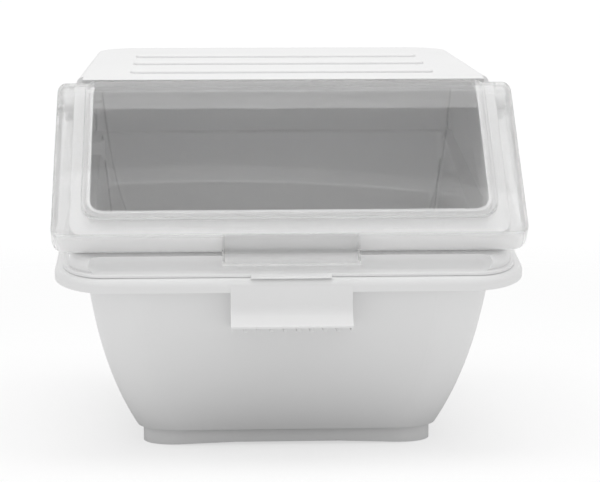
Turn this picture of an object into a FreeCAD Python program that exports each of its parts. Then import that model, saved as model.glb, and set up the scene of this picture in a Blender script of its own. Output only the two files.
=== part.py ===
import FreeCAD, Part
import math
import os
import re
import Sketcher

# Shelf bin for pet food: tub, lift-off lid with hood, clear flip-up door.
# Millimetres. +X right, -Y front, +Z up. Origin under the centre of the
# bounding box, on the surface the bin stands on.

V = FreeCAD.Vector
doc = FreeCAD.newDocument("pet_food_bin")
sheet = doc.addObject("Spreadsheet::Sheet", "dims")

DIMS = [
    ("wall", 3.0, "wall of the tub and the lid"),
    ("clear_wall", 3.0, "wall of the clear door"),
    ("fit_gap", 0.3, "gap between parts that move against each other"),
    ("foot_high", 18.0, "height of the plinth"),
    ("foot_half", 156.0, "half width of the plinth"),
    ("foot_front", -176.0, "front face of the plinth"),
    ("foot_back", 252.0, "back face of the plinth"),
    ("foot_wide", 14.0, "width of the ring that the bin stands on"),
    ("foot_step", 3.0, "centre of the plinth above the corner feet"),
    ("foot_arch", 100.0, "run of the arch from the side of the plinth"),
    ("base_half", 162.0, "half width of the tub at its base"),
    ("low_half", 177.0, "half width of the tub low on the wall"),
    ("mid_half", 195.0, "half width of the tub half way up"),
    ("front_half", 209.5, "half width of the tub at the front rim"),
    ("top_half", 228.0, "half width of the tub at the back rim"),
    ("base_front", -185.0, "front wall at the base"),
    ("front_run", 0.53, "run of the front wall for each unit of rise"),
    ("base_back", 261.0, "back wall at the base"),
    ("back_run", 0.04, "run of the back wall for each unit of rise"),
    ("base_round", 48.0, "front corner radius at the base"),
    ("top_round", 66.0, "front corner radius at the rim"),
    ("back_round", 16.0, "back corner radius of the tub"),
    ("low_rise", 48.0, "level of the low section"),
    ("mid_rise", 100.0, "level of the middle section"),
    ("front_rise", 180.0, "level of the section at the front rim"),
    ("top_rise", 340.0, "level of the section above the back rim"),
    ("rim_tilt", 12.8, "slope of the rim, low at the front"),
    ("rim_front", -288.0, "front edge of the rim"),
    ("rim_level", 190.0, "top of the rim at its front edge"),
    ("rim_half", 243.0, "half width of the rim"),
    ("rim_long", 598.3, "length of the rim along its slope"),
    ("rim_deep", 14.0, "height of the rolled rim"),
    ("rim_round", 58.0, "front corner radius of the rim"),
    ("rim_back", 32.0, "back corner radius of the rim"),
    ("rim_roll", 9.0, "rounding of the rim edge"),
    ("grip_half", 62.0, "half width of the handle plate"),
    ("grip_low", 141.0, "lower edge of the handle plate"),
    ("grip_reach", -298.5, "front of the handle lip"),
    ("rib_pitch", 13.5, "pitch of the handle ribs"),
    ("rib_thick", 4.0, "thickness of a handle rib"),
    ("rib_low", 136.5, "lower end of the handle ribs"),
    ("door_tilt", 47.9, "slope of the door face"),
    ("door_front", -283.0, "fold between door face and skirt, from the centre"),
    ("door_level", 235.0, "fold between door face and skirt, level"),
    ("door_half", 244.0, "half width of the door"),
    ("door_deep", 28.0, "depth of the door skirt"),
    ("door_run", 192.6, "length of the flat door face"),
    ("roll_size", 28.0, "radius of the rolled upper edge"),
    ("roll_turn", 62.9, "angle through which the upper edge is rolled"),
    ("pad_high", 4.0, "height of the window plateau"),
    ("pad_half", 214.0, "half width of the window plateau"),
    ("pad_start", 20.0, "lower edge of the window plateau"),
    ("pad_end", 21.0, "upper edge of the plateau past the flat face"),
    ("pad_round", 20.0, "corner radius of the window plateau"),
    ("tab_half", 70.0, "half width of the finger tab"),
    ("mouth_half", 205.0, "half width of the access mouth"),
    ("mouth_start", 31.0, "lower edge of the access mouth"),
    ("mouth_round", 15.0, "corner radius of the access mouth"),
    ("coaming_thick", 4.0, "thickness of the coaming"),
    ("frame_drop", 7.0, "frame face below the door face"),
    ("frame_half", 226.0, "half width of the frame"),
    ("frame_start", 5.0, "front wall of the lid behind the door fold"),
    ("hood_front", -108.7, "front edge of the hood"),
    ("hood_low", 392.0, "top of the hood at its front edge"),
    ("hood_back", 279.0, "back wall of the hood"),
    ("hood_top", 429.0, "top of the hood at its back edge"),
    ("hood_half", 217.0, "half width of the lid at the top"),
    ("skirt_half", 229.0, "half width of the lid at the rim"),
    ("hood_round", 62.0, "back corner radius of the hood"),
    ("hood_edge", 7.5, "rounding of the hood edges"),
    ("lid_half", 233.0, "half width of the lid flange"),
    ("lid_inset", 7.0, "lid flange behind the rim edge"),
    ("lid_round", 44.0, "front corner radius of the lid flange"),
    ("lid_back", 23.0, "back corner radius of the lid flange"),
    ("wide_half", 233.0, "half width of the hood behind the door"),
    ("wide_front", -92.0, "front of the wide part of the hood"),
    ("wide_rise", 352.0, "level up to which the hood sides stand upright"),
    ("sill_half", 229.0, "half width of the sill"),
    ("sill_start", 12.0, "sill behind the rim edge"),
    ("sill_high", 16.5, "height of the sill above the rim"),
    ("sill_round", 40.0, "corner radius of the sill"),
    ("sill_edge", 9.0, "rounding of the sill shoulders"),
    ("pocket_half", 208.0, "half width of the finger pocket"),
    ("pocket_back", 26.5, "back of the finger pocket behind the rim edge"),
    ("pocket_round", 18.0, "corner radius of the finger pocket"),
    ("pocket_edge", 9.0, "hollow between pocket floor and back"),
    ("plug_gap", 1.5, "gap between the lid plug and the tub"),
    ("tongue_half", 41.0, "half width of the centre tongue"),
    ("trough_in", 24.2, "inner radius of the relief for the rolled edge"),
    ("trough_out", 38.0, "outer radius of the relief for the rolled edge"),
    ("boss_size", 13.0, "radius of the pivot boss"),
    ("boss_end", 236.0, "outer end of the pivot boss"),
    ("pin_size", 4.0, "radius of the hinge pin"),
    ("pin_play", 0.06, "radial play of the door on the pin"),
    ("head_size", 6.6, "radius of the pin head"),
    ("head_thick", 1.8, "thickness of the pin head"),
    ("rib_half", 170.0, "half length of the hood ribs"),
    ("rib_rise", 3.0, "height of the hood ribs"),
    ("hook_from", -25.0, "front face of the scoop hook"),
    ("hook_level", 304.0, "lower edge of the scoop hook arm"),
    ("stud_size", 3.0, "radius of the scoop hook stud"),
    ("hook_deep", 14.0, "depth of the scoop hook"),
    ("hook_high", 16.0, "height of the scoop hook"),
    ("hook_arm", 21.0, "reach of the scoop hook"),
]


DERIVED = [
    ("fold_y", "=door_front + frame_start * cos(door_tilt * 1 deg)"
     " + frame_drop * sin(door_tilt * 1 deg)", "lid fold, y"),
    ("fold_z", "=door_level + frame_start * sin(door_tilt * 1 deg)"
     " - frame_drop * cos(door_tilt * 1 deg)", "lid fold, z"),
    ("toe_y", "=fold_y + 70 * sin(door_tilt * 1 deg)", "foot of the lid front, y"),
    ("toe_z", "=fold_z - 70 * cos(door_tilt * 1 deg)", "foot of the lid front, z"),
    ("knee_y", "=door_front + door_run * cos(door_tilt * 1 deg)"
     " + frame_drop * sin(door_tilt * 1 deg)", "upper end of the frame, y"),
    ("knee_z", "=door_level + door_run * sin(door_tilt * 1 deg)"
     " - frame_drop * cos(door_tilt * 1 deg)", "upper end of the frame, z"),
    ("crest_y", "=hood_back + 60", "hood slope run on past the back, y"),
    ("crest_z", "=hood_top + 60 * (hood_top - hood_low) / (hood_back - hood_front)",
     "hood slope run on past the back, z"),
    ("hood_tilt", "=atan((hood_top - hood_low) / (hood_back - hood_front)) / 1 deg",
     "slope of the hood top"),
    ("pivot_y", "=door_front + door_run * cos(door_tilt * 1 deg)"
     " + roll_size * sin(door_tilt * 1 deg)", "door axis, y"),
    ("pivot_z", "=door_level + door_run * sin(door_tilt * 1 deg)"
     " - roll_size * cos(door_tilt * 1 deg)", "door axis, z"),
]

for row, (alias, value, note) in enumerate(DIMS + DERIVED, start=1):
    sheet.set("A%d" % row, alias)
    sheet.set("B%d" % row, value if isinstance(value, str) else repr(value))
    sheet.set("C%d" % row, note)
    sheet.setAlias("B%d" % row, alias)
doc.recompute()

ALIASES = {alias for alias, _, _ in DIMS + DERIVED}
SIDE = FreeCAD.Rotation(V(0, 1, 0), V(0, 0, 1), V(1, 0, 0), "ZXY")


def formula(text):
    """Write a formula so that another object can read the sheet."""
    def named(found):
        word = found.group(0)
        return "dims." + word if word in ALIASES else word
    return re.sub(r"[a-z_]+", named, text)


def size(text):
    """Value of a formula over the driving dimensions."""
    value = sheet.evalExpression(formula(text))
    return float(getattr(value, "Value", value))


def bind(obj, **sizes):
    """Drive properties of an object from the sheet."""
    for name, text in sizes.items():
        obj.setExpression(name.replace("__", "."), formula(text))
    return obj


def tilt(obj, kind):
    """Stand an object drawn flat in the frame of the rim or the door."""
    front = {"rim": "rim_front", "door": "door_front"}[kind]
    level = {"rim": "rim_level", "door": "door_level"}[kind]
    slope = {"rim": "rim_tilt", "door": "door_tilt"}[kind]
    turn = FreeCAD.Rotation(V(1, 0, 0), size(slope))
    base = V(0, size(front), size(level))
    obj.Placement = FreeCAD.Placement(base, turn)
    bind(obj, Placement__Base__y=front, Placement__Base__z=level)
    bind(obj, Placement__Rotation__Angle=slope)
    return obj


def fixed(sketch, geometry, point, across, up=None):
    """Hold one sketch point at coordinates given by formulas."""
    for kind, text in (("DistanceX", across), ("DistanceY", up)):
        if text is None:
            continue
        rule = Sketcher.Constraint(kind, -1, 1, geometry, point, size(text))
        index = sketch.addConstraint(rule)
        sketch.setExpression("Constraints[%d]" % index, formula(text))


def outline(name, points):
    """Closed outline in the side plane, corner by corner."""
    sketch = doc.addObject("Sketcher::SketchObject", name)
    sketch.Placement = FreeCAD.Placement(V(0, 0, 0), SIDE)
    spots = [V(size(a), size(b), 0) for a, b in points]
    count = len(points)
    for i in range(count):
        line = Part.LineSegment(spots[i], spots[(i + 1) % count])
        sketch.addGeometry(line)
    for i in range(count):
        rule = Sketcher.Constraint("Coincident", i, 2, (i + 1) % count, 1)
        sketch.addConstraint(rule)
    for i, (across, up) in enumerate(points):
        fixed(sketch, i, 1, across, up)
    return sketch


def rounded(name, half, low, high, low_r, high_r, level="0"):
    """Rounded rectangle drawn flat, with front and back corner radii."""
    sketch = doc.addObject("Sketcher::SketchObject", name)
    bind(sketch, Placement__Base__z=level)
    w, a, b = size(half), size(low), size(high)
    p, q = size(low_r), size(high_r)
    seg = Part.LineSegment

    def arc(cx, cy, r, start):
        ring = Part.Circle(V(cx, cy, 0), V(0, 0, 1), r)
        turn = math.radians(start)
        return Part.ArcOfCircle(ring, turn, turn + math.pi / 2)

    sketch.addGeometry(seg(V(p - w, a, 0), V(w - p, a, 0)))
    sketch.addGeometry(arc(w - p, a + p, p, -90))
    sketch.addGeometry(seg(V(w, a + p, 0), V(w, b - q, 0)))
    sketch.addGeometry(arc(w - q, b - q, q, 0))
    sketch.addGeometry(seg(V(w - q, b, 0), V(q - w, b, 0)))
    sketch.addGeometry(arc(q - w, b - q, q, 90))
    sketch.addGeometry(seg(V(-w, b - q, 0), V(-w, a + p, 0)))
    sketch.addGeometry(arc(p - w, a + p, p, 180))
    for i in range(8):
        rule = Sketcher.Constraint("Tangent", i, 2, (i + 1) % 8, 1)
        sketch.addConstraint(rule)
    for i, kind in ((0, "Horizontal"), (2, "Vertical")):
        sketch.addConstraint(Sketcher.Constraint(kind, i))
        sketch.addConstraint(Sketcher.Constraint(kind, i + 4))
    places = (
        ("DistanceY", 0, low, a), ("DistanceX", 2, half, w),
        ("DistanceY", 4, high, b), ("DistanceX", 6, "-(%s)" % half, -w),
    )
    for kind, line, text, value in places:
        rule = Sketcher.Constraint(kind, -1, 1, line, 1, value)
        index = sketch.addConstraint(rule)
        sketch.setExpression("Constraints[%d]" % index, formula(text))
    for curve, text, value in ((1, low_r, p), (3, high_r, q),
                               (5, high_r, q), (7, low_r, p)):
        rule = Sketcher.Constraint("Radius", curve, value)
        index = sketch.addConstraint(rule)
        sketch.setExpression("Constraints[%d]" % index, formula(text))
    return sketch


def across(name, sketch, half):
    """Solid pulled out of a side outline, equally to left and right."""
    solid = doc.addObject("Part::Extrusion", name)
    solid.Base = sketch
    solid.DirMode = "Normal"
    solid.Symmetric = True
    solid.Solid = True
    return bind(solid, LengthFwd="2 * (%s)" % half)


def upward(name, sketch, high):
    """Solid pulled up out of a flat sketch."""
    solid = doc.addObject("Part::Extrusion", name)
    solid.Base = sketch
    solid.DirMode = "Normal"
    solid.Solid = True
    return bind(solid, LengthFwd=high)


def plate(name, half, low, high, low_r, high_r, level, thick):
    """Rounded plate lying flat at a level."""
    sketch = rounded(name + "_sketch", half, low, high, low_r, high_r, level)
    return upward(name, sketch, thick)


def box(name, x, y, z, long, wide, high):
    """Block from its low corner and its three sizes."""
    block = doc.addObject("Part::Box", name)
    bind(block, Length=long, Width=wide, Height=high)
    bind(block, Placement__Base__x=x, Placement__Base__y=y)
    return bind(block, Placement__Base__z=z)


def rod(name, radius, start, long):
    """Cylinder along X on the door axis."""
    bar = doc.addObject("Part::Cylinder", name)
    turn = FreeCAD.Rotation(V(0, 1, 0), 90)
    bar.Placement = FreeCAD.Placement(V(0, 0, 0), turn)
    bind(bar, Radius=radius, Height=long, Placement__Base__x=start)
    return bind(bar, Placement__Base__y="pivot_y", Placement__Base__z="pivot_z")


def join(name, *shapes):
    """Union of several solids."""
    union = doc.addObject("Part::MultiFuse", name)
    union.Shapes = list(shapes)
    return union


def take(name, base, tool):
    """One solid with another removed."""
    cut = doc.addObject("Part::Cut", name)
    cut.Base = base
    cut.Tool = tool
    return cut


def shared(name, *shapes):
    """Volume common to several solids."""
    both = doc.addObject("Part::MultiCommon", name)
    both.Shapes = list(shapes)
    return both


def soften(name, base, radius, test):
    """Round the edges that pass a test on their middle point."""
    doc.recompute()
    chosen = []
    for index, edge in enumerate(base.Shape.Edges, start=1):
        first, last = edge.ParameterRange
        if test(edge.valueAt((first + last) / 2), edge):
            chosen.append((index, size(radius), size(radius)))
    rounded_off = doc.addObject("Part::Fillet", name)
    rounded_off.Base = base
    rounded_off.Edges = chosen
    return rounded_off


def name_part(obj, label):
    """Give a finished sub-part its name."""
    obj.Label = label
    return obj


# Tub

SECTIONS = (
    ("base", "foot_high", "base_half", 0.0),
    ("low", "low_rise", "low_half", 0.1),
    ("mid", "mid_rise", "mid_half", 0.3),
    ("front", "front_rise", "front_half", 0.6),
    ("top", "top_rise", "top_half", 1.0),
)


def tub_form(name, inset, lift):
    """Tapered form of the tub, drawn in by an inset."""
    rings = []
    for key, level, half, share in SECTIONS:
        grow = lift if key == "base" else "0"
        front = "base_front - front_run * (%s - foot_high) + %s" % (level, inset)
        back = "base_back + back_run * (%s - foot_high) - %s" % (level, inset)
        turn = "base_round + %s * (top_round - base_round) - %s" % (share, inset)
        rings.append(rounded("%s_%s" % (name, key), "%s - %s" % (half, inset),
                             front, back, turn, "back_round - %s" % inset,
                             "%s + %s" % (level, grow)))
    form = doc.addObject("Part::Loft", name)
    form.Sections = rings
    form.Solid = True
    form.Ruled = False
    return form


def slab(name, front, back, low, high):
    """Wide block that lies in the frame of the rim."""
    side = outline(name + "_side", [
        (front, low), (back, low), (back, high), (front, high),
    ])
    return tilt(across(name, side, "400"), "rim")


def above_rim(name, gap):
    """Everything above the plane of the rim."""
    return slab(name, "-200", "900", gap, "500")


tub_outer = tub_form("tub_outer", "0", "0")
tub_inner = tub_form("tub_inner", "wall", "wall")
tub_low = take("tub_low", tub_outer, above_rim("over_rim", "-0.5"))

rim_plate = plate("rim_plate", "rim_half", "0", "rim_long", "rim_round",
                  "rim_back", "-rim_deep", "rim_deep")
rim_soft = soften("rim_soft", rim_plate, "rim_roll",
                  lambda p, e: abs(p.z) < 0.01)
rim_under = plate("rim_under", "rim_half - wall", "wall", "rim_long - wall",
                  "rim_round - wall", "rim_back - wall", "-rim_deep - 1",
                  "rim_deep + 1 - wall")
rim_hollow = soften("rim_hollow", rim_under, "rim_roll - wall",
                    lambda p, e: abs(p.z + size("wall")) < 0.01)
rim_ring = tilt(take("rim_ring", rim_soft, rim_hollow), "rim")

grip_side = outline("grip_side", [
    ("rim_front + 1.4", "rim_level - 6.4"),
    ("rim_front + 3.4", "grip_low + 17"),
    ("grip_reach", "grip_low + 2"),
    ("grip_reach + 1.2", "grip_low"),
    ("grip_reach + 3.6", "grip_low + 0.4"),
    ("rim_front + 6.4", "grip_low + 16"),
    ("rim_front + 4.4", "rim_level - 6.4"),
])
grip = soften("grip", across("grip_plate", grip_side, "grip_half"), "rim_deep",
              lambda p, e: abs(p.x) < 1 and abs(p.z - size("grip_low") - 16.5) < 1)

web_side = outline("web_side", [
    ("rim_front + 5", "rim_level - 7.5"),
    ("rim_front + 5", "grip_low + 15"),
    ("rim_front - 2.5", "grip_low + 5"),
    ("rim_front - 2.5", "rib_low"),
    ("base_front - 56", "rib_low"),
    ("base_front - 70", "rim_level - 7.5"),
])
WEB_COUNT = 8
webs = []
for number in range(WEB_COUNT):
    web = across("web_%d" % number, web_side, "rib_thick / 2")
    step = number - (WEB_COUNT - 1) / 2
    bind(web, Placement__Base__x="rib_pitch * (%s)" % step)
    webs.append(web)
for number, mirror in enumerate(("-1", "1")):
    web = across("web_end_%d" % number, web_side, "rib_thick / 4")
    bind(web, Placement__Base__x="%s * (grip_half - rib_thick / 4)" % mirror)
    webs.append(web)

foot_block = plate("foot_block", "foot_half", "foot_front", "foot_back",
                   "base_round - 6", "back_round - 6", "0", "foot_high + 1")
foot_inside = plate("foot_inside", "foot_half - foot_wide", "foot_front + foot_wide",
                    "foot_back - foot_wide", "base_round - 6 - foot_wide", "4",
                    "-1", "foot_high + 1")
arch_x = across("arch_x", outline("arch_x_side", [
    ("-foot_half + 10", "0"), ("foot_arch - foot_half", "foot_step"),
    ("foot_half - foot_arch", "foot_step"), ("foot_half - 10", "0"),
    ("foot_half - 10", "-5"), ("10 - foot_half", "-5"),
]), "foot_half * 3")
arch_x.Placement = FreeCAD.Placement(V(0, 0, 0), FreeCAD.Rotation(V(0, 0, 1), 90))
arch_y = box("arch_y", "-300", "-70", "-1", "600", "220", "foot_step + 1")
foot = take("foot", foot_block, join("foot_cut", foot_inside, arch_x, arch_y))

tub_skin = join("tub_skin", tub_low, rim_ring, grip, foot, *webs)
tub = name_part(take("tub_part", tub_skin, tub_inner), "tub")

# Lid


def lid_block(name, inset, edge):
    """Closed form of the lid, drawn in by an inset."""
    side = outline(name + "_side", [
        ("toe_y", "toe_z"), ("fold_y", "fold_z"), ("knee_y", "knee_z"),
        ("hood_front", "hood_low"), ("crest_y", "crest_z"), ("crest_y", "150"),
    ])
    if inset != "0":
        shrunk = doc.addObject("Part::Offset2D", name + "_shrunk")
        shrunk.Source = side
        shrunk.Mode = "Pipe"
        shrunk.Join = "Intersection"
        side = bind(shrunk, Value="-(%s)" % inset)
    run = across(name + "_run", side, "250")
    plan = doc.addObject("Part::Loft", name + "_plan")
    plan.Sections = [
        rounded(name + "_low", "skirt_half - %s" % inset, "-340",
                "hood_back + 11 - %s" % inset, "10",
                "hood_round - %s" % inset, "150"),
        rounded(name + "_high", "hood_half - %s" % inset, "-340",
                "hood_back - %s" % inset, "10",
                "hood_round - %s" % inset, "hood_top + 15"),
    ]
    plan.Solid = True
    plan.Ruled = True
    wide = doc.addObject("Part::Loft", name + "_wide")
    wide.Sections = [
        rounded("%s_wide_%s" % (name, word), "%s - %s" % (half, inset),
                "wide_front - 50", "%s - %s" % (back, inset), "3",
                "%s - %s" % (turn, inset), level)
        for word, half, back, turn, level in (
            ("low", "wide_half", "hood_back + 7", "back_round", "150"),
            ("mid", "wide_half", "hood_back + 4", "back_round", "wide_rise"),
            ("high", "hood_half", "hood_back", "hood_round", "hood_top + 15"),
        )
    ]
    wide.Solid = True
    wide.Ruled = True
    ahead = box(name + "_ahead", "-300", "wide_front + %s - 400" % inset, "0",
                "600", "400", "600")
    behind = box(name + "_behind", "-300", "wide_front + %s" % inset, "0", "600",
                 "600", "600")
    block = join(name + "_block", shared(name + "_front", run, plan, ahead),
                 shared(name + "_rear", run, wide, behind))
    return soften(name, block, edge, lid_edge)


def lid_edge(p, edge):
    """Upper edges of the lid: hood top, frame sides, front fold."""
    if abs(p.x) < 150:
        on_back = p.z > size("hood_top") - 12 and p.y > size("hood_back") - 12
        on_fold = abs(p.y - size("fold_y")) < 5 and abs(p.z - size("fold_z")) < 5
        return on_back or on_fold
    corner = p.z > size("hood_top") - 14 and p.y > 100
    rising = edge.tangentAt(edge.ParameterRange[0])
    if corner:
        return True
    along_top = (p.y > size("wide_front") + 6 and p.z > size("hood_low") - 6 and
                 abs(rising.z) < 0.6)
    slope = (p.y > size("fold_y") and p.y < size("knee_y") and
             abs(rising.z) > 0.6 and abs(rising.y) > 0.5)
    front = p.y < size("toe_y") and abs(rising.z) > 0.5
    return along_top or slope or front


lid_outer = lid_block("lid_outer", "0", "hood_edge")
lid_inner = lid_block("lid_inner", "wall", "hood_edge - wall")

lid_flange_plate = plate("lid_flange_plate", "lid_half", "lid_inset",
                         "rim_long - lid_inset", "lid_round", "lid_back",
                         "fit_gap", "wall")
lid_flange_soft = soften("lid_flange_soft", lid_flange_plate, "1.5",
                         lambda p, e: p.z > size("wall"))
tongue_side = outline("tongue_side", [
    ("1.5", "fit_gap"), ("3", "fit_gap + 1.3"), ("lid_inset", "fit_gap + wall - 0.4"),
    ("lid_inset + 8", "fit_gap + wall"), ("lid_inset + 8", "fit_gap"),
])
tongue = across("tongue", tongue_side, "tongue_half")
flange_solid = tilt(join("flange_solid", lid_flange_soft, tongue), "rim")
plug_hole = tub_form("plug_hole", "(wall * 2 + plug_gap)", "wall")
plug_side = tub_form("plug_side", "(wall + plug_gap)", "wall")
flange_hole = shared("flange_hole", plug_hole, lid_inner)
flange = take("flange", flange_solid, flange_hole)
plug_slab = slab("plug_slab", "10", "rim_long", "-8", "1")
plug = take("plug", shared("plug_solid", plug_side, plug_slab), plug_hole)

frame_plate = plate("frame_plate", "frame_half", "frame_start",
                    "door_run + 30", "16", "4", "-frame_drop - wall", "wall")
frame_soft = tilt(soften("frame_soft", frame_plate, "1.4",
                         lambda p, e: p.z > -size("frame_drop") - 0.1), "door")
coaming_out = plate("coaming_out", "mouth_half + coaming_thick",
                    "mouth_start - coaming_thick", "door_run + 8",
                    "mouth_round + coaming_thick", "4",
                    "-frame_drop - wall", "frame_drop + wall")
coaming_soft = tilt(soften("coaming_soft", coaming_out, "1.2",
                           lambda p, e: abs(p.z) < 0.01), "door")
mouth = tilt(plate("mouth", "mouth_half", "mouth_start", "door_run + 31",
                   "mouth_round", "3", "-frame_drop - 18", "60"), "door")

above_flange = above_rim("above_flange", "fit_gap")
lid_shell = shared("lid_shell", take("lid_walls", lid_outer, lid_inner),
                   above_flange)

sill_plate = plate("sill_plate", "sill_half", "sill_start",
                   "sill_start + sill_round + 16", "sill_round", "12",
                   "fit_gap", "sill_high")
sill_soft = soften("sill_soft", sill_plate, "sill_edge",
                   lambda p, e: p.z > size("sill_high") and p.y < size("sill_start + sill_round")
                   and abs(e.tangentAt(e.ParameterRange[0]).z) < 0.5)
pocket_plate = plate("pocket_plate", "pocket_half", "-20", "pocket_back", "4",
                     "pocket_round", "fit_gap + wall", "60")
pocket = soften("pocket", pocket_plate, "pocket_edge",
                lambda p, e: abs(p.z - size("fit_gap + wall")) < 0.1
                and p.y > size("pocket_back") - 8)
sill_cut = tilt(take("sill_cut", sill_soft, pocket), "rim")
sill = take("sill", sill_cut, lid_inner)

bosses = []
for word, start in (("left", "-boss_end"), ("right", "boss_end - 20")):
    bosses.append(rod("boss_" + word, "boss_size", start, "20"))
boss_pair = take("boss_pair", join("boss_both", *bosses), lid_inner)

ribs = []
for number, (run, wide) in enumerate((("52", "36"), ("153", "26"), ("243", "26"))):
    bar = plate("hood_rib_%d" % number, "rib_half", run, "%s + %s" % (run, wide),
                "9", "9", "-1.5", "rib_rise + 1.5")
    bar_soft = soften("hood_rib_soft_%d" % number, bar, "2.4",
                      lambda p, e: p.z > size("rib_rise") - 0.1)
    turn = FreeCAD.Rotation(V(1, 0, 0), size("hood_tilt"))
    base = V(0, size("hood_front"), size("hood_low"))
    bar_soft.Placement = FreeCAD.Placement(base, turn)
    bind(bar_soft, Placement__Base__y="hood_front", Placement__Base__z="hood_low")
    bind(bar_soft, Placement__Rotation__Angle="hood_tilt")
    ribs.append(bar_soft)

turn_side = outline("turn_side", [
    ("pivot_y", "pivot_z"),
    ("pivot_y + 90 * cos(-54 deg)", "pivot_z + 90 * sin(-54 deg)"),
    ("pivot_y + 90", "pivot_z - 60"), ("pivot_y + 90", "pivot_z + 90"),
    ("pivot_y - 60", "pivot_z + 90"),
    ("pivot_y + 90 * cos(142 deg)", "pivot_z + 90 * sin(142 deg)"),
])
turn_space = across("turn_space", turn_side, "300")
trough_ring = take("trough_ring", rod("trough_wide", "trough_out", "-300", "600"),
                   rod("trough_core", "trough_in", "-301", "602"))
trough = shared("trough", trough_ring, turn_space)

lip_side = outline("lip_side", [
    ("pivot_y", "pivot_z - 1"), ("pivot_y + 70", "pivot_z - 1"),
    ("pivot_y + 70", "pivot_z + 70"), ("pivot_y", "pivot_z + 70"),
])
lip_ring = take("lip_ring", rod("lip_wide", "trough_out + wall", "-300", "600"),
                rod("lip_core", "trough_out", "-301", "602"))
lip = shared("lip", lip_ring, across("lip_space", lip_side, "300"), lid_outer)

bores = []
for word, start in (("left", "-boss_end - 1"), ("right", "boss_end - 14")):
    bores.append(rod("bore_" + word, "pin_size", start, "15"))


def stud(name, start, long):
    """Round stud that fastens the scoop hook through the lid wall."""
    bar = doc.addObject("Part::Cylinder", name)
    turn = FreeCAD.Rotation(V(0, 1, 0), 90)
    bar.Placement = FreeCAD.Placement(V(0, 0, 0), turn)
    bind(bar, Radius="stud_size", Height=long, Placement__Base__x=start)
    bind(bar, Placement__Base__y="hook_from + hook_deep / 2")
    return bind(bar, Placement__Base__z="hook_level + hook_high / 2")


bores.append(stud("stud_hole", "-wide_half - 1", "6"))

lid_solid = join("lid_solid", lid_shell, flange, plug, sill, frame_soft,
                 coaming_soft, boss_pair, *ribs)
lid_open = take("lid_open", lid_solid, join("lid_cuts", mouth, trough, *bores))
lid_trim = shared("lid_trim", join("lid_whole", lid_open, lip),
                  above_rim("over_plug", "-8.5"))
lid = name_part(lid_trim, "lid")

# Door, drawn flat: X across, Y up the slope, Z outward


def door_profile(name, inset, lift, ends):
    """Side outline of the door skin: flat face and rolled upper edge."""
    sketch = doc.addObject("Sketcher::SketchObject", name)
    sketch.Placement = FreeCAD.Placement(V(0, 0, 0), SIDE)
    radius = size("roll_size + %s" % lift)
    cy, cz = size("door_run"), -size("roll_size")
    turn = "roll_turn" if ends else "180"
    low = math.radians(90 - size(turn))
    start = V(size(inset), size(lift), 0)
    crest = V(cy, size(lift), 0)
    tip = V(cy + radius * math.cos(low), cz + radius * math.sin(low), 0)
    sketch.addGeometry(Part.LineSegment(start, crest))
    ring = Part.Circle(V(cy, cz, 0), V(0, 0, 1), radius)
    sketch.addGeometry(Part.ArcOfCircle(ring, low, math.pi / 2))
    points = [("door_run + 14", "-roll_size - 14"), ("door_run - 6", "-roll_size - 18"),
              (inset, "-door_deep")]
    if not ends:
        points = [(inset, "-2 * roll_size + %s" % inset)]
    spots = [tip] + [V(size(a), size(b), 0) for a, b in points] + [start]
    for a, b in zip(spots, spots[1:]):
        sketch.addGeometry(Part.LineSegment(a, b))
    last = len(spots)
    rules = [("Coincident", 0, 2, 1, 2), ("Coincident", 1, 1, 2, 1)]
    for i in range(2, last):
        rules.append(("Coincident", i, 2, i + 1, 1))
    rules.append(("Coincident", last, 2, 0, 1))
    for rule in rules:
        sketch.addConstraint(Sketcher.Constraint(*rule))
    fixed(sketch, 0, 1, inset, lift)
    fixed(sketch, 0, 2, "door_run", lift)
    fixed(sketch, 1, 3, "door_run", "-roll_size")
    fixed(sketch, 1, 1,
          "door_run + (roll_size + %s) * sin(%s * 1 deg)" % (lift, turn))
    for i, (a, b) in enumerate(points):
        fixed(sketch, 3 + i, 1, a, b)
    return sketch


def door_edge(p, fold):
    """Edges between the door face and its wings and skirt."""
    if abs(p.x) < 1:
        return abs(p.y - fold) < 1 and p.z > -4
    beyond = abs(p.x) > size("door_half") - 4
    rolled = p.y > size("door_run") and p.z > -size("roll_size") * 0.75
    face = p.z > -4
    return beyond and (rolled or face)


def door_block(name, inset, ends, corner, edge):
    """Closed form of the door, drawn in by an inset."""
    profile = door_profile(name + "_side", inset, "-%s" % inset, ends)
    block = across(name + "_run", profile, "door_half - %s" % inset)
    front = soften(name + "_front", block, corner,
                   lambda p, e: abs(p.y - size(inset)) < 0.1 and abs(p.x) > 200
                   and p.z < -5)
    return soften(name, front, edge, lambda p, e: door_edge(p, size(inset)))


def pad_edge(p):
    """Upper edges of the window plateau, flat and rolled."""
    if abs(p.x) < 1:
        return abs(p.y - size("pad_start")) < 1 and p.z > 0
    beyond = abs(p.x) > size("pad_half") - 8
    flat = abs(p.z - size("pad_high")) < 0.1
    return beyond and flat


door_outer = door_block("door_outer", "0", True, "16", "8.5")
door_inner = door_block("door_inner", "clear_wall", False, "13", "5.5")

pad_profile = door_profile("pad_profile", "-5", "pad_high", True)
pad_run = across("pad_run", pad_profile, "250")
pad_plan = plate("pad_plan", "pad_half", "pad_start", "door_run + pad_end",
                 "pad_round", "pad_round", "-80", "120")
pad_block = shared("pad_block", pad_run, pad_plan)
pad = soften("pad", pad_block, "3", lambda p, e: pad_edge(p))
pad_hollow_profile = door_profile("pad_hollow_profile", "-5",
                                  "pad_high - clear_wall", False)
pad_hollow_run = across("pad_hollow_run", pad_hollow_profile, "250")
pad_hollow_plan = plate("pad_hollow_plan", "pad_half - clear_wall",
                        "pad_start + clear_wall",
                        "door_run + pad_end - clear_wall",
                        "pad_round - clear_wall", "pad_round - clear_wall",
                        "-80", "120")
pad_hollow = shared("pad_hollow", pad_hollow_run, pad_hollow_plan)

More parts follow.
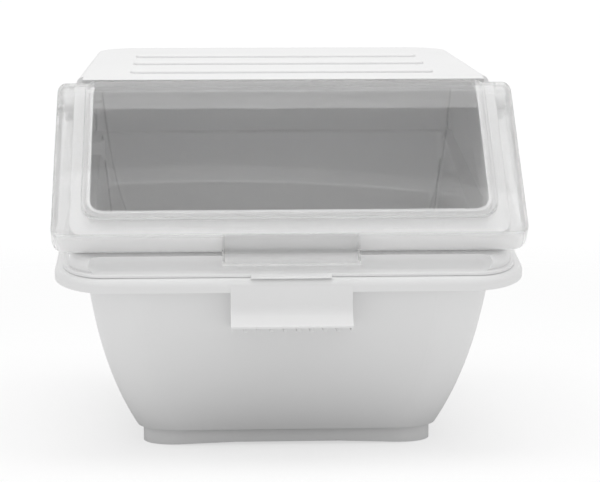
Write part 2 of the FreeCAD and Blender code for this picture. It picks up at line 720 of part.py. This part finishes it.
tab_side = outline("tab_side", [
    ("9", "0"), ("-5", "-4.5"), ("-17", "-10.5"), ("-28", "-11.5"),
    ("-28.6", "-14.3"), ("-17.5", "-13.6"), ("-6", "-7.8"), ("6", "-3.6"),
])
tab_plate = soften("tab_plate", across("tab_run", tab_side, "tab_half"), "8",
                   lambda p, e: abs(p.x) < 1 and -18 < p.y < -16)
tab_web_side = outline("tab_web_side", [
    ("3", "-3"), ("-5", "-5"), ("-17", "-11.5"), ("-26", "-12.4"),
    ("-14", "-20"), ("1", "-door_deep"), ("3", "-door_deep"),
])
tab_webs = take("tab_webs", across("tab_web_run", tab_web_side, "tab_half"),
                box("tab_web_gap", "2.6 - tab_half", "-60", "-60",
                    "2 * tab_half - 5.2", "100", "70"))
tab_gap = box("tab_gap", "2.6 - tab_half", "-1", "-door_deep - 1",
              "2 * tab_half - 5.2", "5", "door_deep - 3")


def flat_rod(name, radius, start, long):
    """Cylinder along X on the door axis, in the flat frame of the door."""
    bar = doc.addObject("Part::Cylinder", name)
    turn = FreeCAD.Rotation(V(0, 1, 0), 90)
    bar.Placement = FreeCAD.Placement(V(0, 0, 0), turn)
    bind(bar, Radius=radius, Height=long, Placement__Base__x=start)
    return bind(bar, Placement__Base__y="door_run", Placement__Base__z="-roll_size")


ears = []
holes = []
for word, start in (("left", "-door_half"), ("right", "door_half - 5")):
    ears.append(flat_rod("ear_" + word, "9.5", start, "5"))
for word, start in (("left", "-door_half - 1"), ("right", "door_half - 7")):
    holes.append(flat_rod("eye_" + word, "pin_size + pin_play", start, "8"))
for word, start in (("left", "-door_half - 1"), ("right", "door_half - 2.1")):
    holes.append(flat_rod("seat_" + word, "head_size + 0.4", start, "3.1"))

door_skin = take("door_skin", join("door_full", door_outer, pad),
                 join("door_hollow", door_inner, pad_hollow, tab_gap))
door_all = join("door_all", door_skin, tab_plate, tab_webs, *ears)
door = tilt(take("door_part", door_all, join("door_holes", *holes)), "door")
name_part(door, "door")

# Hinge pins

pins = []
for word, head, shaft in (("left", "-door_half + 0.1", "-door_half + 1"),
                          ("right", "door_half - 0.1 - head_thick",
                           "boss_end - 12")):
    disc = rod("pin_head_" + word, "head_size", head, "head_thick")
    stem = rod("pin_stem_" + word, "pin_size", shaft,
               "door_half - boss_end + 11")
    pins.append(name_part(join("pin_part_" + word, disc, stem),
                          "hinge_pin_" + word))

# Scoop hook

hook_plate = box("hook_plate", "-232", "hook_from - 6", "hook_level - 5",
                 "7", "hook_deep + 12", "hook_high + 8")
hook_arm_box = box("hook_arm_box", "-232", "hook_from + 2", "hook_level + 1",
                   "hook_arm + 10", "hook_deep - 4", "hook_high - 2")
hook_end = box("hook_end", "-225 + hook_arm", "hook_from", "hook_level - 2",
               "4", "hook_deep", "hook_high + 3")
hook_block = join("hook_block", hook_plate, hook_arm_box, hook_end)
hook_inside = shared("hook_inside", hook_block, lid_inner)
hook_stud = stud("hook_stud", "0.6 - wide_half", "6")
hook = name_part(join("hook_part", hook_inside, hook_stud), "scoop_hook")

doc.recompute()

for obj in doc.Objects:
    if "Invalid" in obj.State or "Error" in obj.State:
        raise RuntimeError("%s did not compute" % obj.Name)
    if hasattr(obj, "Shape") and (obj.Shape.isNull() or not obj.Shape.isValid()):
        raise RuntimeError("%s has no valid shape" % obj.Name)

os.makedirs("parts", exist_ok=True)
for node in (tub, lid, door, pins[0], pins[1], hook):
    if len(node.Shape.Solids) != 1:
        raise RuntimeError("%s is not one solid" % node.Label)
    node.Shape.exportStep("parts/%s.step" % node.Label)
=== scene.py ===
"""Pet food bin: a white tub and hood with a clear flip-up door, on a pale studio floor."""

import math

import bpy
from mathutils import Euler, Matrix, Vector
from mathutils.bvhtree import BVHTree


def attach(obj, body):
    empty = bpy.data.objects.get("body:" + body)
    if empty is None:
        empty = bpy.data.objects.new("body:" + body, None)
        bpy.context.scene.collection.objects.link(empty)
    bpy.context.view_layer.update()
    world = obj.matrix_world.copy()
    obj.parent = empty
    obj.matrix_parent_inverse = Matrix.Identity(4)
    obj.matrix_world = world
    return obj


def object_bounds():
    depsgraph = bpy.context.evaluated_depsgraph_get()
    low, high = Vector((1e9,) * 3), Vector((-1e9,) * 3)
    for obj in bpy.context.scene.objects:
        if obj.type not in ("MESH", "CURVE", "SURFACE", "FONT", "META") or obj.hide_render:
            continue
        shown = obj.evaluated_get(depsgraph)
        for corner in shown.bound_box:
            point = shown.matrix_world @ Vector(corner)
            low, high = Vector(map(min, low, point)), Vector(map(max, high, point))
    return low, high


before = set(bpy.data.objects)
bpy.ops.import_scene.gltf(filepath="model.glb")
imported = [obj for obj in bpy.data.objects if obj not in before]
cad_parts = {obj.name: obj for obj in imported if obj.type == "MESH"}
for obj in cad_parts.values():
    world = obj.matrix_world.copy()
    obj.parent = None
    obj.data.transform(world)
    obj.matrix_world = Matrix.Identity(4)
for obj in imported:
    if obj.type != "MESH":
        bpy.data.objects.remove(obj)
cad_low, cad_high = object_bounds()

DEG = math.radians(1)
PURE_WHITE = (1, 1, 1, 1)

# Camera: place in metres, angles in degrees, lens and sensor in millimetres.
CAMERA_PLACE = (-0.085, -2.298, 0.406)
CAMERA_DOWN = 5.03
CAMERA_TURN = 2.66
CAMERA_ROLL = -0.2
LENS = 120.0
SENSOR = 36.0

# Moulded plastic: a soft cloud varies its colour and gloss, and a fine grain its surface.
WHITE = (0.79, 0.79, 0.79)
WHITE_SHADE = (0.77, 0.77, 0.77)
# Painted shade: this dark grey stands in for the shade in the inner back corners.
CREASE_PAINTED_SHADE = (0.3, 0.3, 0.3)
CREASE_PAINTED_SHADE_DEEP = (0.27, 0.27, 0.27)
PLASTIC_IOR = 1.5
CLOUD_SCALE = 9.0
CLOUD_DETAIL = 3.0
GLOSS_SPREAD = 0.05
GRAIN_SCALE = 1400
GRAIN_DETAIL = 2.0
GRAIN_STRENGTH = 0.25
COARSE_GRAIN = 0.00005
FINE_GRAIN = 0.00003
TUB_ROUGHNESS = 0.42
LID_ROUGHNESS = 0.36
HOOK_ROUGHNESS = 0.35
CREASE_ROUGHNESS = 0.5

# Clear door: solid glass mixed with a thin sheet whose mirror grows at a slant.
GLASS_COLOUR = (0.985, 0.985, 0.985, 1)
GLASS_ROUGHNESS = 0.02
GLASS_IOR = 1.58
SHEET_COLOUR = (0.95, 0.95, 0.95, 1)
SHEET_ROUGHNESS = 0.04
SHEET_MIRROR = (0.045, 0.6)
SHEET_SHARE = 0.45
MIRROR_POWER = 3.5

# The door skirt stands square to the sloping door face and is lightly frosted.
DOOR_SLOPE = 47.9
SKIRT_NORMAL = (0.0, -math.cos(DOOR_SLOPE * DEG), -math.sin(DOOR_SLOPE * DEG))
SKIRT_FACING = (0.55, 0.95)
SKIRT_HAZE = 0.6
FROST_COLOUR = (0.85, 0.85, 0.85, 1)

# Dark strips of painted shade along the inner back corners, in metres: from level to level, with a gap just
# below the seam.
RAY_DEPTH = 0.15
CORNER_REACH = 0.03
CREASE_HALF = 0.0016
CREASE_LIFT = 0.0002
CREASE_THICK = 0.0003
SEAM_LEVEL = 0.317
TUB_CREASE_LEVELS = (0.04, SEAM_LEVEL - 0.012)
TUB_CREASE_STEPS = 40
HOOD_CREASE_LEVELS = (SEAM_LEVEL - 0.006, 0.372)
HOOD_CREASE_STEPS = 60

# Floor: distances from the bin's middle over which its light onto the bin grows and over which it fades.
FLOOR_REACH = 9.0
FLOOR_SIDES = 96
FLOOR_DROP = 0.0002
FLOOR_COLOUR = (0.92, 0.92, 0.92, 1)
FLOOR_GLOW_SHARE = 0.62
FLOOR_GLOW_START = (0.15, 0.42)
FLOOR_FADE = (0.6, 3.0)

# Light tent: heights of the view direction and the light's strength at each.
TENT_HEIGHTS = (-0.2, 0.95)
TENT_STRENGTHS = (0.67, 0.85)
BACKDROP_STRENGTH = 1.02

# Top lamp, in metres and watts.
LAMP_PLACE = (0.0, -0.25, 2.4)
LAMP_AIM = (0, 0, 0.25)
LAMP_WIDTH = 2.2
LAMP_HEIGHT = 1.6
LAMP_POWER = 21


def new_material(name):
    """An empty node material with its output node."""
    material = bpy.data.materials.new(name)
    material.use_nodes = True
    nodes = material.node_tree.nodes
    nodes.clear()
    return material, nodes, material.node_tree.links, nodes.new("ShaderNodeOutputMaterial")


def new_node(nodes, kind, values):
    """A shader node with constants set on its own sockets."""
    node = nodes.new(kind)
    for socket, value in values.items():
        node.inputs[socket].default_value = value
    return node


def noise(nodes, links, scale, detail):
    """Noise in the object's own space, from 0 to 1."""
    place = nodes.new("ShaderNodeTexCoord")
    texture = new_node(nodes, "ShaderNodeTexNoise", {"Scale": scale, "Detail": detail})
    links.new(place.outputs["Object"], texture.inputs["Vector"])
    return texture.outputs["Fac"]


def ranged(nodes, links, value, given, wanted, interpolation="LINEAR"):
    """A value carried from one range to another and held at both ends."""
    node = new_node(nodes, "ShaderNodeMapRange", {
        "From Min": given[0],
        "From Max": given[1],
        "To Min": wanted[0],
        "To Max": wanted[1],
    })
    node.interpolation_type = interpolation
    links.new(value, node.inputs["Value"])
    return node.outputs["Result"]


def mixed(nodes, links, share, first, second):
    """Two shaders mixed by a plain number or by a socket."""
    mix = nodes.new("ShaderNodeMixShader")
    if isinstance(share, float):
        mix.inputs["Fac"].default_value = share
    else:
        links.new(share, mix.inputs["Fac"])
    links.new(first, mix.inputs[1])
    links.new(second, mix.inputs[2])
    return mix.outputs["Shader"]


def moulded_plastic(name, colour, shade, roughness, grain_depth):
    """Injection-moulded plastic: slightly uneven colour, satin gloss and a fine spark-eroded grain."""
    material, nodes, links, output = new_material(name)
    shader = new_node(nodes, "ShaderNodeBsdfPrincipled", {"IOR": PLASTIC_IOR})
    cloud = noise(nodes, links, CLOUD_SCALE, CLOUD_DETAIL)
    tint = nodes.new("ShaderNodeMix")
    tint.data_type = "RGBA"
    tint.inputs["A"].default_value = (*shade, 1)
    tint.inputs["B"].default_value = (*colour, 1)
    links.new(cloud, tint.inputs["Factor"])
    links.new(tint.outputs["Result"], shader.inputs["Base Color"])
    gloss_range = (roughness - GLOSS_SPREAD, roughness + GLOSS_SPREAD)
    gloss = ranged(nodes, links, cloud, (0, 1), gloss_range)
    links.new(gloss, shader.inputs["Roughness"])
    bump = new_node(nodes, "ShaderNodeBump", {"Strength": GRAIN_STRENGTH, "Distance": grain_depth})
    links.new(noise(nodes, links, GRAIN_SCALE, GRAIN_DETAIL), bump.inputs["Height"])
    links.new(bump.outputs["Normal"], shader.inputs["Normal"])
    links.new(shader.outputs["BSDF"], output.inputs["Surface"])
    return material


def skirt_haze(nodes, links):
    """The share of frost, which grows as a face of the door turns towards the skirt's outer side."""
    place = nodes.new("ShaderNodeTexCoord")
    facing = nodes.new("ShaderNodeVectorMath")
    facing.operation = "DOT_PRODUCT"
    facing.inputs[1].default_value = SKIRT_NORMAL
    links.new(place.outputs["Normal"], facing.inputs[0])
    return ranged(nodes, links, facing.outputs["Value"], SKIRT_FACING, (0, SKIRT_HAZE))


def mirror_share(nodes, links):
    """The share of mirror in the thin sheet, which grows at a slant."""
    slant = nodes.new("ShaderNodeLayerWeight")
    steep = nodes.new("ShaderNodeMath")
    steep.operation = "POWER"
    steep.inputs[1].default_value = MIRROR_POWER
    links.new(slant.outputs["Facing"], steep.inputs[0])
    return ranged(nodes, links, steep.outputs["Value"], (0, 1), SHEET_MIRROR)


def clear_polycarbonate(name):
    """Clear moulded polycarbonate, lightly frosted on the skirt, that lets lamps through."""
    material, nodes, links, output = new_material(name)
    glass = new_node(nodes, "ShaderNodeBsdfPrincipled", {
        "Base Color": GLASS_COLOUR,
        "Transmission Weight": 1.0,
        "Roughness": GLASS_ROUGHNESS,
        "IOR": GLASS_IOR,
    })
    thin = new_node(nodes, "ShaderNodeBsdfTransparent", {"Color": SHEET_COLOUR})
    gloss = new_node(nodes, "ShaderNodeBsdfGlossy", {"Color": PURE_WHITE, "Roughness": SHEET_ROUGHNESS})
    frost = new_node(nodes, "ShaderNodeBsdfDiffuse", {"Color": FROST_COLOUR})
    path = nodes.new("ShaderNodeLightPath")
    sheet = mixed(nodes, links, mirror_share(nodes, links), thin.outputs["BSDF"], gloss.outputs["BSDF"])
    body = mixed(nodes, links, SHEET_SHARE, glass.outputs["BSDF"], sheet)
    hazed = mixed(nodes, links, skirt_haze(nodes, links), body, frost.outputs["BSDF"])
    surface = mixed(nodes, links, path.outputs["Is Shadow Ray"], hazed, thin.outputs["BSDF"])
    links.new(surface, output.inputs["Surface"])
    return material


def dress(node, material):
    """Gives a CAD node its finish."""
    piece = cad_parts[node]
    piece.data.materials.clear()
    piece.data.materials.append(material)


def finishes():
    """The finish of every CAD node."""
    satin = moulded_plastic("lid_white", WHITE, WHITE_SHADE, LID_ROUGHNESS, FINE_GRAIN)
    dress("tub", moulded_plastic("tub_white", WHITE, WHITE_SHADE, TUB_ROUGHNESS, COARSE_GRAIN))
    dress("lid", satin)
    dress("hinge_pin_left", satin)
    dress("hinge_pin_right", satin)
    dress("scoop_hook", moulded_plastic("hook_white", WHITE, WHITE_SHADE, HOOK_ROUGHNESS, FINE_GRAIN))
    dress("door", clear_polycarbonate("clear_door"))


def new_object(name, corners, faces, material):
    """A mesh object of one material."""
    mesh = bpy.data.meshes.new(name)
    mesh.from_pydata(corners, [], faces)
    mesh.validate()
    mesh.materials.append(material)
    made = bpy.data.objects.new(name, mesh)
    bpy.context.scene.collection.objects.link(made)
    return made


def corner_path(node, side, levels, steps):
    """Points up an inner back corner of a CAD node, found by rays from the middle of the bin."""
    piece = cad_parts[node]
    mesh = piece.data
    spots = [piece.matrix_world @ vertex.co for vertex in mesh.vertices]
    tree = BVHTree.FromPolygons(spots, [tuple(face.vertices) for face in mesh.polygons])
    low, high = levels
    path = []
    for step in range(steps + 1):
        level = low + (high - low) * step / steps
        middle = Vector((0, RAY_DEPTH, level))
        wall = tree.ray_cast(middle, Vector((side, 0, 0)))[0]
        back = tree.ray_cast(middle, Vector((0, 1, 0)))[0]
        if wall is None or back is None:
            continue
        centre = Vector((wall.x - side * CORNER_REACH, back.y - CORNER_REACH, level))
        corner = tree.ray_cast(centre, Vector((side, 1, 0)).normalized())[0]
        if corner is not None:
            path.append(corner)
    return path


def crease(name, node, side, levels, steps, material):
    """A thin dark strip of painted shade along an inner back corner, which rides the node's body."""
    across = Vector((-side, 1, 0)).normalized() * CREASE_HALF
    inward = Vector((-side, -1, 0)).normalized()
    corners = []
    for point in corner_path(node, side, levels, steps):
        for lift in (CREASE_LIFT, CREASE_LIFT + CREASE_THICK):
            corners.append(point + inward * lift - across)
            corners.append(point + inward * lift + across)
    ring = 4
    last = len(corners) - ring
    faces = [(0, 1, 3, 2)]
    for start in range(0, last, ring):
        for a, b in ((0, 1), (1, 3), (3, 2), (2, 0)):
            faces.append((start + b, start + a, start + a + ring, start + b + ring))
    faces.append((last + 1, last, last + 2, last + 3))
    strip = new_object(name, corners, faces, material)
    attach(strip, "tub" if node == "tub" else "lid")


def creases():
    """Dark strips of painted shade in the inner back corners of the tub and the hood."""
    # Painted shade: the corner strips get a dark grey in place of the shade that falls in the inner back
    # corners.
    dark = moulded_plastic("painted_crease_shade", CREASE_PAINTED_SHADE, CREASE_PAINTED_SHADE_DEEP, CREASE_ROUGHNESS, FINE_GRAIN)
    for word, side in (("left", -1), ("right", 1)):
        crease("tub_crease_shade_" + word, "tub", side, TUB_CREASE_LEVELS, TUB_CREASE_STEPS, dark)
        crease("hood_crease_shade_" + word, "lid", side, HOOD_CREASE_LEVELS, HOOD_CREASE_STEPS, dark)


def floor_white(name):
    """Floor paint that glows to the camera, lights the bin only from further out, and fades away."""
    material, nodes, links, output = new_material(name)
    place = nodes.new("ShaderNodeTexCoord")
    distance = nodes.new("ShaderNodeVectorMath")
    distance.operation = "LENGTH"
    links.new(place.outputs["Object"], distance.inputs[0])
    far = distance.outputs["Value"]
    path = nodes.new("ShaderNodeLightPath")
    strength = nodes.new("ShaderNodeMath")
    strength.operation = "MAXIMUM"
    links.new(ranged(nodes, links, far, FLOOR_GLOW_START, (0, 1), "SMOOTHSTEP"), strength.inputs[0])
    links.new(path.outputs["Is Camera Ray"], strength.inputs[1])
    glow = new_node(nodes, "ShaderNodeEmission", {"Color": PURE_WHITE})
    links.new(strength.outputs["Value"], glow.inputs["Strength"])
    paint = new_node(nodes, "ShaderNodeBsdfDiffuse", {"Color": FLOOR_COLOUR})
    clear = nodes.new("ShaderNodeBsdfTransparent")
    lit = mixed(nodes, links, FLOOR_GLOW_SHARE, paint.outputs["BSDF"], glow.outputs["Emission"])
    fade = ranged(nodes, links, far, FLOOR_FADE, (0, 1), "SMOOTHSTEP")
    links.new(mixed(nodes, links, fade, lit, clear.outputs["BSDF"]), output.inputs["Surface"])
    return material


def floor():
    """A round pale floor that fades into the white background."""
    corners = [(0.0, 0.0, 0.0)]
    for step in range(FLOOR_SIDES):
        turn = 2 * math.pi * step / FLOOR_SIDES
        corners.append((FLOOR_REACH * math.cos(turn), FLOOR_REACH * math.sin(turn), 0.0))
    faces = [(0, i, i % FLOOR_SIDES + 1) for i in range(1, FLOOR_SIDES + 1)]
    ground = new_object("floor", corners, faces, floor_white("floor_white"))
    ground.location.z = cad_low.z - FLOOR_DROP


def studio():
    """A white light tent: bright above, dimmer towards the floor, and a white background."""
    world = bpy.data.worlds.new("tent")
    bpy.context.scene.world = world
    world.use_nodes = True
    nodes = world.node_tree.nodes
    links = world.node_tree.links
    nodes.clear()
    output = nodes.new("ShaderNodeOutputWorld")
    place = nodes.new("ShaderNodeTexCoord")
    split = nodes.new("ShaderNodeSeparateXYZ")
    links.new(place.outputs["Generated"], split.inputs["Vector"])
    strength = ranged(nodes, links, split.outputs["Z"], TENT_HEIGHTS, TENT_STRENGTHS, "SMOOTHSTEP")
    tent = new_node(nodes, "ShaderNodeBackground", {"Color": PURE_WHITE})
    links.new(strength, tent.inputs["Strength"])
    backdrop = new_node(nodes, "ShaderNodeBackground", {"Color": PURE_WHITE, "Strength": BACKDROP_STRENGTH})
    path = nodes.new("ShaderNodeLightPath")
    white = mixed(nodes, links, path.outputs["Is Camera Ray"],
                  tent.outputs["Background"], backdrop.outputs["Background"])
    links.new(white, output.inputs["Surface"])


def top_lamp():
    """A rectangular lamp over the bin that leaves no mirror image in the door."""
    lamp = bpy.data.lights.new("top_box", "AREA")
    lamp.shape = "RECTANGLE"
    lamp.size = LAMP_WIDTH
    lamp.size_y = LAMP_HEIGHT
    lamp.energy = LAMP_POWER
    holder = bpy.data.objects.new("top_box", lamp)
    holder.location = LAMP_PLACE
    holder.rotation_euler = (Vector(LAMP_AIM) - Vector(LAMP_PLACE)).to_track_quat("-Z", "Y").to_euler()
    holder.visible_glossy = False
    bpy.context.scene.collection.objects.link(holder)


def camera():
    """The camera of the main view."""
    lens = bpy.data.cameras.new("camera")
    lens.lens = LENS
    lens.sensor_width = SENSOR
    eye = bpy.data.objects.new("camera", lens)
    bpy.context.scene.collection.objects.link(eye)
    eye.location = CAMERA_PLACE
    look = Euler((0, 0, -CAMERA_TURN * DEG)).to_matrix()
    tip = Euler(((90 - CAMERA_DOWN) * DEG, 0, 0)).to_matrix()
    roll = Euler((0, 0, CAMERA_ROLL * DEG)).to_matrix()
    eye.rotation_euler = (look @ tip @ roll).to_euler()
    bpy.context.scene.camera = eye


finishes()
creases()
floor()
studio()
top_lamp()
camera()
bpy.context.scene.view_settings.view_transform = "Standard"
